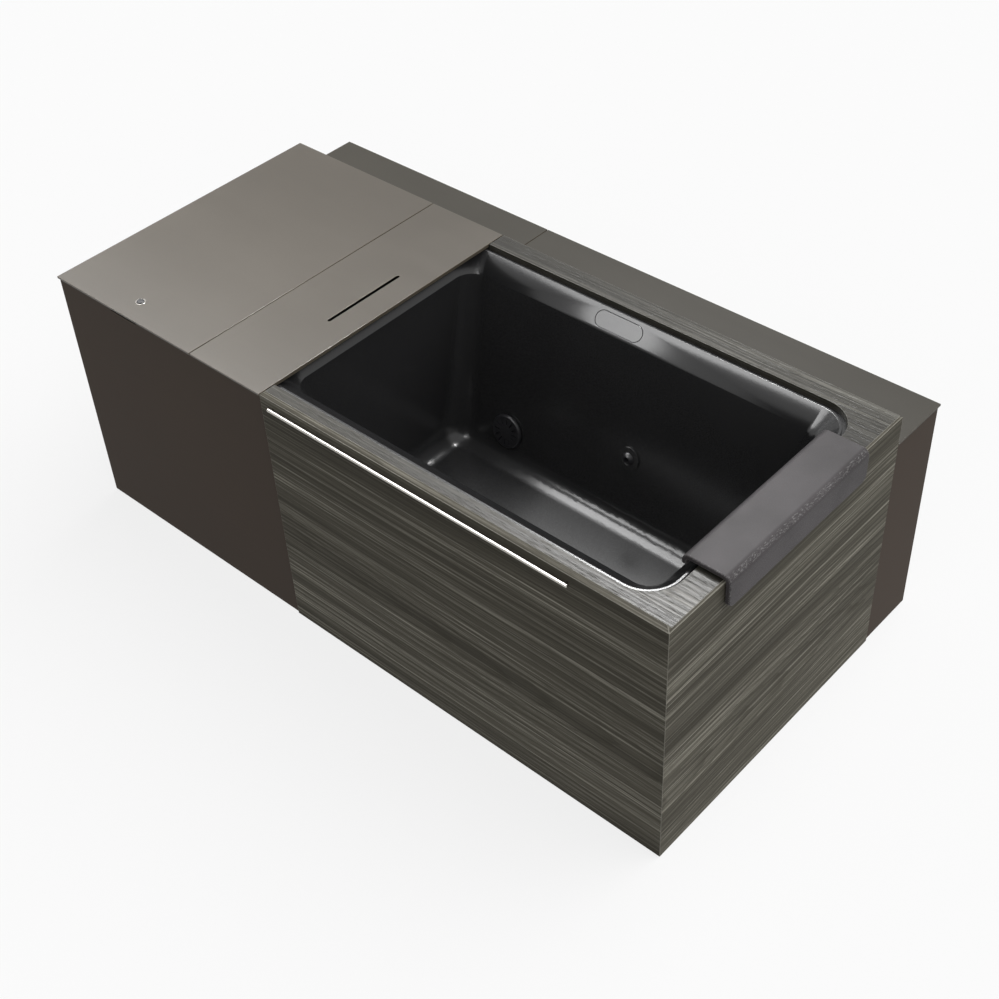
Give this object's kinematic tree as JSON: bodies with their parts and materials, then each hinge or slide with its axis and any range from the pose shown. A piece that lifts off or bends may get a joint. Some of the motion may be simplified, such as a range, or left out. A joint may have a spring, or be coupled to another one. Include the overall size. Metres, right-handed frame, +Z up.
{
  "type": "cold plunge tub",
  "caption": "Free-standing cold plunge tub clad in wood, with an equipment cabinet under a lid at one end, a rear service chase, a towel rail and a lift-off saddle over the rim.",
  "frame": {"origin": "middle of the whole bath's outline, on the floor", "axes": "+X along the bath from the equipment cabinet to the saddle end, +Y from the front to the service chase, +Z up"},
  "size_m": [2.034, 1.0805, 0.773],
  "materials": {
    "metal_top": "satin",
    "metal_body": "satin",
    "wood": "matte",
    "tub_acrylic": "satin",
    "frame_steel": "galvanised",
    "rubber_black": "matte",
    "foam": "matte",
    "nickel": "bright",
    "saddle_skin": "satin",
    "fitting_black": "gloss",
    "pipe_plastic": "matte",
    "motor_paint": "satin",
    "fin_aluminium": "satin",
    "copper": "bright",
    "filter_cloth": "matte",
    "box_grey": "matte",
    "screw_steel": "satin"
  },
  "bodies": {
    "bath": {"base_bearers": "frame_steel", "leveling_feet": "rubber_black", "base_pan": "frame_steel", "upper_frame": "frame_steel", "frame_posts": "frame_steel", "seam_rail": "metal_body", "chase_ledge": "metal_body", "cabinet_front_panel": "metal_body", "cabinet_side_panel": "metal_body", "cabinet_back_fascia": "metal_body", "wood_front_panel": "wood", "wood_end_panel": "wood", "wood_back_fascia": "wood", "wood_top_frame": "wood", "rear_back_panel": "metal_body", "panel_screws": "screw_steel", "bulkhead_fittings": "fitting_black", "rear_end_panels": "metal_body", "tub_shell": "tub_acrylic", "insulation_boards": "foam", "hinge_fixed_leaves": "screw_steel", "hinge_pins": "screw_steel", "towel_rail": "nickel", "towel_rail_posts": "nickel", "suction_body": "fitting_black", "suction_cover": "fitting_black", "jet_body": "fitting_black", "fitting_nuts": "box_grey", "drain_body": "nickel", "overflow_box": "fitting_black", "circuit_pipes": "pipe_plastic", "overflow_pipe": "pipe_plastic", "drain_pipe": "pipe_plastic", "drain_valve": "pipe_plastic", "pump_motor": "motor_paint", "pump_wet_end": "fitting_black", "filter_housing": "fitting_black", "filter_cartridge": "filter_cloth", "heat_exchanger": "box_grey", "lamp_unit": "fin_aluminium", "condenser_coil": "fin_aluminium", "fan_shroud": "metal_body", "fan_motor": "motor_paint", "compressor": "rubber_black", "refrigerant_lines": "copper", "control_box": "box_grey"},
    "service_lid": {"service_lid": "metal_top", "hinge_moving_leaves": "screw_steel", "button_housing": "nickel"},
    "power_button": {"power_button": "fitting_black"},
    "deck_panel": {"deck_panel": "metal_top"},
    "rear_cover_left": {"rear_cover_left": "metal_top"},
    "rear_cover_right": {"rear_cover_right": "metal_top"},
    "saddle": {"saddle": "saddle_skin", "saddle_pads": "rubber_black"},
    "overflow_cap": {"overflow_cap": "tub_acrylic"},
    "jet_eyeball": {"jet_eyeball": "fitting_black"},
    "fan_rotor": {"fan_rotor": "fitting_black"},
    "filter_cap": {"filter_cap": "fitting_black"},
    "drain_lever": {"drain_lever": "motor_paint"}
  },
  "joints": [
    {"name": "lid_hinge", "type": "hinge", "parent": "bath", "child": "service_lid", "pos_m": [-0.74775, 0.34725, 0.748], "axis": [-1, 0, 0], "range_deg": [0, 95]},
    {"name": "button_press", "type": "slide", "parent": "service_lid", "child": "power_button", "axis": [0, 0, -1], "range_m": [0, 0.002], "stiffness_N_per_m": 800, "springref_m": -0.001},
    {"name": "deck_lift", "type": "slide", "parent": "bath", "child": "deck_panel", "axis": [0, 0, 1], "range_m": [0, 0.06]},
    {"name": "cover_left_lift", "type": "slide", "parent": "bath", "child": "rear_cover_left", "axis": [0, 0, 1], "range_m": [0, 0.06]},
    {"name": "cover_right_lift", "type": "slide", "parent": "bath", "child": "rear_cover_right", "axis": [0, 0, 1], "range_m": [0, 0.06]},
    {"name": "saddle_lift", "type": "slide", "parent": "bath", "child": "saddle", "axis": [0, 0, 1], "range_m": [0, 0.1]},
    {"name": "overflow_cap_pull", "type": "slide", "parent": "bath", "child": "overflow_cap", "axis": [0, -0.7526, 0.6585], "range_m": [0, 0.03]},
    {"name": "jet_tilt", "type": "hinge", "parent": "bath", "child": "jet_eyeball", "pos_m": [0.349, 0.18345, 0.38904], "axis": [1, 0, 0], "range_deg": [-12, 12]},
    {"name": "fan_spin", "type": "hinge", "parent": "bath", "child": "fan_rotor", "pos_m": [-0.979, -0.04575, 0.273], "axis": [1, 0, 0], "continuous": true},
    {"name": "filter_cap_turn", "type": "hinge", "parent": "bath", "child": "filter_cap", "pos_m": [-0.587, -0.19575, 0.538], "axis": [0, 0, 1], "range_deg": [0, 60]},
    {"name": "drain_lever_turn", "type": "hinge", "parent": "bath", "child": "drain_lever", "pos_m": [-0.307, -0.08475, 0.1103], "axis": [0, 0, 1], "range_deg": [0, 90]}
  ]
}
